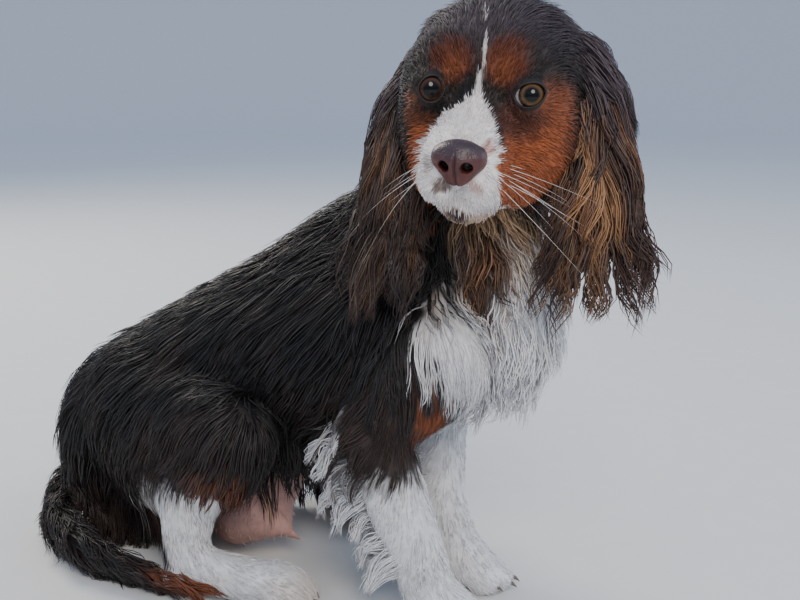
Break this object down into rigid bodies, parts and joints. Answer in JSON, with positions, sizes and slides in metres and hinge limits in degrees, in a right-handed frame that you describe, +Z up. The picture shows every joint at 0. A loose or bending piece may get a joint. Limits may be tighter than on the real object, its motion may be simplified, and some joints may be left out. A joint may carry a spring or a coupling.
{
  "type": "sitting spaniel figure",
  "caption": "Life-size model of a small long-eared spaniel, sitting with its head turned to its right.",
  "frame": {"origin": "on the floor, at the middle of the box around the whole dog", "axes": "+Z up, -Y the way the dog's chest faces, +X its left side; the head is turned to -X"},
  "size_m": [0.2372, 0.4662, 0.3984],
  "materials": {
    "head": "short brown and tan fur with a white blaze",
    "nose": "moist liver-brown leather",
    "eye_left": "wet amber-brown",
    "eye_right": "wet amber-brown",
    "ear_left": "long wavy brown hair",
    "ear_right": "long wavy brown hair",
    "neck": "long hair, dark above and cream below",
    "torso": "long silky blackish-brown hair with a white chest",
    "foreleg_left": "white hair with feathering",
    "foreleg_right": "white hair with feathering, brown at the shoulder",
    "forepaw_left": "short white hair",
    "forepaw_right": "short white hair",
    "hind_leg_left": "long blackish-brown hair",
    "hind_leg_right": "long blackish-brown hair",
    "hind_foot_left": "short cream-white hair",
    "hind_foot_right": "short cream-white hair",
    "tail_root": "long blackish-brown hair",
    "tail": "long blackish-brown hair, tan towards the tip"
  },
  "bodies": {
    "root": {"head": "head", "nose": "nose", "eye_left": "eye_left", "eye_right": "eye_right", "ear_left": "ear_left", "ear_right": "ear_right", "neck": "neck", "torso": "torso", "foreleg_left": "foreleg_left", "foreleg_right": "foreleg_right", "forepaw_left": "forepaw_left", "forepaw_right": "forepaw_right", "hind_leg_left": "hind_leg_left", "hind_leg_right": "hind_leg_right", "hind_foot_left": "hind_foot_left", "hind_foot_right": "hind_foot_right", "tail_root": "tail_root", "tail": "tail"}
  },
  "joints": []
}
